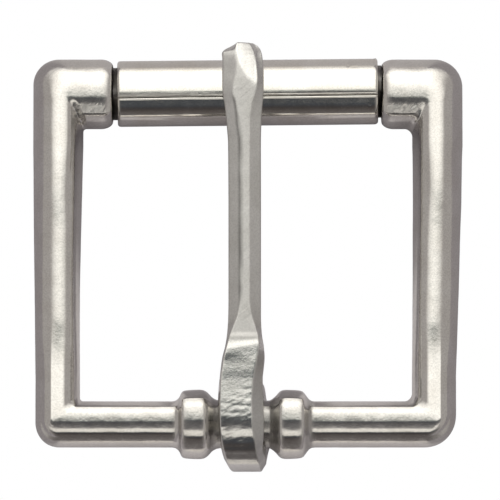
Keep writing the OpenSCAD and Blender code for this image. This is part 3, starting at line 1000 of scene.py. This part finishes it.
def tongue_sections():
    """All rows in one form: foot Y, foot Z, angle of the section's plane, inner and outer
    distance from the foot, and the four edges, with smooth rows added between them. Over the
    head the outer distance follows the hammered top, found by going back and forth between
    the distance and its Y. Where a section crosses the bore its inner distance follows the
    bore's circle."""
    rows = [(r[0], 0, 0, *r[1:]) for r in SHANK]
    rows += [(0, 0, math.radians(r[0]), EYE_BORE_R, *r[1:]) for r in EYE]
    rows += [(0, r[0], math.radians(270), EYE_BORE_R, *r[1:]) for r in TAIL]
    rows = np.array(rows, float)
    outer = np.stack([rows[:, 0] - rows[:, 4] * np.sin(rows[:, 2]),
                      rows[:, 1] + rows[:, 4] * np.cos(rows[:, 2])], axis=-1)
    fine = smooth_line(np.concatenate([outer, rows], axis=1), SECTION_STEP)[:, 2:]
    front = fine[:, 2] < HEAD_LEAN
    turn = np.where(front, fine[:, 2], 0.0)
    top = fine[:, 4].copy()
    for _ in range(HEAD_ROUNDS):
        y = fine[:, 0] - top * np.sin(turn)
        top = head_top(y) / np.cos(turn)
    share = front * rises(y, *HEAD_BEGINS) * (1 - rises(y, *HEAD_ENDS))
    fine[:, 4] += (top - fine[:, 4]) * share
    reach = np.hypot(fine[:, 0], fine[:, 1])
    bore = np.sqrt(np.clip(EYE_BORE_R**2 - np.minimum(reach, EYE_BORE_R) ** 2, 0, None))
    eye = fine[:, 2] > 1e-3
    fine[:, 3] = np.where(eye, np.where(reach > 1e-3, bore, EYE_BORE_R),
                          np.maximum(fine[:, 3], bore))
    return fine


def tongue_surface():
    """Eight corners a section, joined by straight edges with a set number of points each,
    softened by a short moving average round the section, and set in the section's plane."""
    s = tongue_sections()
    foot_y, foot_z, angle, low, high, left, right, face_left, face_right = s.T
    drop = FACET_SHARE * (high - low) * (1 - TIP_FACET_LOSS * rises(foot_y, *TIP_FACET_Y))
    across = np.stack([face_left, face_right, right, right, right - INNER_BEVEL,
                       left + INNER_BEVEL, left, left], axis=1)
    up = np.stack([high, high, high - drop, low + INNER_BEVEL, low, low,
                   low + INNER_BEVEL, high - drop], axis=1)
    corner = np.repeat(np.arange(len(CORNER_POINTS)), CORNER_POINTS)
    t = np.concatenate([np.arange(n) / n for n in CORNER_POINTS])
    following = (corner + 1) % len(CORNER_POINTS)
    x = across[:, corner] * (1 - t) + across[:, following] * t
    r = up[:, corner] * (1 - t) + up[:, following] * t
    for _ in range(SOFTENINGS):
        x = (np.roll(x, 1, 1) + 2 * x + np.roll(x, -1, 1)) / 4
        r = (np.roll(r, 1, 1) + 2 * r + np.roll(r, -1, 1)) / 4
    share = (r - low[:, None]) / (high - low)[:, None]
    y = foot_y[:, None] - r * np.sin(angle)[:, None]
    front = np.cos(angle)[:, None] > 0.4
    r = r + hammer_marks(x, y) * rises(share, 0.5, 0.5) * front
    points = np.stack([x, foot_y[:, None] - r * np.sin(angle)[:, None],
                       foot_z[:, None] + r * np.cos(angle)[:, None]], axis=-1)
    return closed_ends(points)


def hammer_marks(x, y):
    """What the hammer leaves on the flat top: the step down to the shank runs aslant, ripples
    cross the head and the bend, and the tip has one more flat that falls away from a slanted
    ridge."""
    moved = y - STEP_SLANT * x * rises(y, *STEP_FROM)
    step = head_top(moved) - head_top(y)
    step = step * (y > -1) * (1 - rises(y, *STEP_UNTIL))
    along = x * math.cos(RIPPLE_TURN) + y * math.sin(RIPPLE_TURN)
    over = y * math.cos(RIPPLE_TURN) - x * math.sin(RIPPLE_TURN)
    place = np.stack([0.5 * along, over, 0 * x], axis=-1)
    rippled = rises(y, *RIPPLES_FROM) * falls(y - RIPPLES_SLANT * x, *RIPPLES_UNTIL)
    ripples = RIPPLE_HEIGHT * wobble(place, RIPPLE_LENGTH, seed=31, waves=24) * rippled
    tip = -np.maximum(y - ridge_y(x), 0) * np.interp(x, *zip(*TIP_FALL))
    return step + ripples + tip


def ridge_y(x):
    """Y of the slanted ridge across the tip, in straight stretches between its points."""
    return np.interp(x, *zip(*TIP_RIDGE))


# The rings that close an end: size as a share of the end's ring, and how far out each lies.
CAP_SIZES = (0.85, 0.5, 0.0)
CAP_PLACES = (0.05, 0.08, 0.10)


def closed_ends(points):
    """Adds three smaller rings at each end, so that the surface closes on a point."""
    def cap(ring, beyond):
        """The end's ring shrunk about its middle, and moved away from the ring next to it."""
        centre = ring.mean(axis=0)
        out = (centre - beyond.mean(axis=0)) / np.linalg.norm(centre - beyond.mean(axis=0))
        shrink = np.array(CAP_SIZES)[:, None, None]
        push = np.array(CAP_PLACES)[:, None, None]
        return centre + (ring - centre) * shrink + out * push
    first = cap(points[0], points[1])[::-1]
    last = cap(points[-1], points[-2])
    return np.concatenate([first, points, last])


# Marks on the tongue. The shank is filed from one (Y, soft edge) on, up to a soft edge over the
# tip's ridge. Painted shade lies in its crease: it is spread over the first points of the flat's
# edge, wider below the (Y, soft edge) CREASE_WIDENS, and lies on the last three points before it
# too. It is only on the front, above CREASE_Z, and patchy: middle strength, and swing to either
# side.
SHANK_FILED = (8.9, 0.5)
RIDGE_EDGE = (0.2, 1.0)
# The shank's flat and the head's right bevel are darkened a little with painted shade, the bevel
# only over the head.
FLAT_PAINTED_SHADE = 0.17
BEVEL_PAINTED_SHADE = 0.22
BEVEL_SHADE_Y = 8
BEVEL_FILED = 0.5
CREASE_PAINTED_SHADE = 0.62
CREASE_POINTS = (4, 15)
CREASE_WIDENS = (36.5, 3)
CREASE_BEFORE = (0.15, 0.35, 0.55)
CREASE_FROM = (11.5, 4)
CREASE_UNTIL = (38.5, 1.5)
CREASE_Z = 3
CREASE_PATCHY = (0.85, 0.25)


def tongue_marks(points):
    """The shank's flat is filed dull up to the ridge on the tip, and a little painted shade
    darkens it. Painted shade lies in the crease along the shank between the left facet and the
    flat, and on the head's right bevel."""
    x, y, z = np.moveaxis(points, -1, 0)
    shank = rises(y, *SHANK_FILED) * falls(y, ridge_y(x) + RIDGE_EDGE[0], RIDGE_EDGE[1])
    column = np.arange(points.shape[1])
    flat = column < CORNER_POINTS[0]
    bevel = (column >= CORNER_POINTS[0]) & (column < sum(CORNER_POINTS[:3]))
    narrow, wide = CREASE_POINTS
    spread = narrow + (wide - narrow) * falls(y, *CREASE_WIDENS)
    crease = CREASE_PAINTED_SHADE * np.clip(1 - column / spread, 0, 1)
    crease[:, -len(CREASE_BEFORE):] = CREASE_BEFORE
    crease = crease * rises(y, *CREASE_FROM) * falls(y, *CREASE_UNTIL) * (z > CREASE_Z)
    patchy = CREASE_PATCHY[0] + CREASE_PATCHY[1] * wobble(points, wavelength=1.5, seed=32)
    wear_and_painted_shade = np.maximum(crease * patchy, FLAT_PAINTED_SHADE * flat * shank)
    wear_and_painted_shade = np.maximum(wear_and_painted_shade, BEVEL_PAINTED_SHADE * bevel * (y < BEVEL_SHADE_Y))
    return {"wear_and_painted_shade": wear_and_painted_shade, "filed": np.maximum(shank, BEVEL_FILED * bevel)}


tongue_nickel = nickel(
    "tongue_nickel", (0.69, 0.68, 0.66), (0.63, 0.62, 0.595), (0.12, 0.18),
    [(0.8, 0.010, (1, 1, 1)), (3.0, 0.007, (1, 1, 1)), (7.0, 0.003, (1, 1, 1))],
    (2.5, 0.03, 50.0))

tongue_points = tongue_surface()
skin("forged_tongue", tongue_points, False, tongue_nickel, "tongue", "tongue",
     tongue_marks(tongue_points))
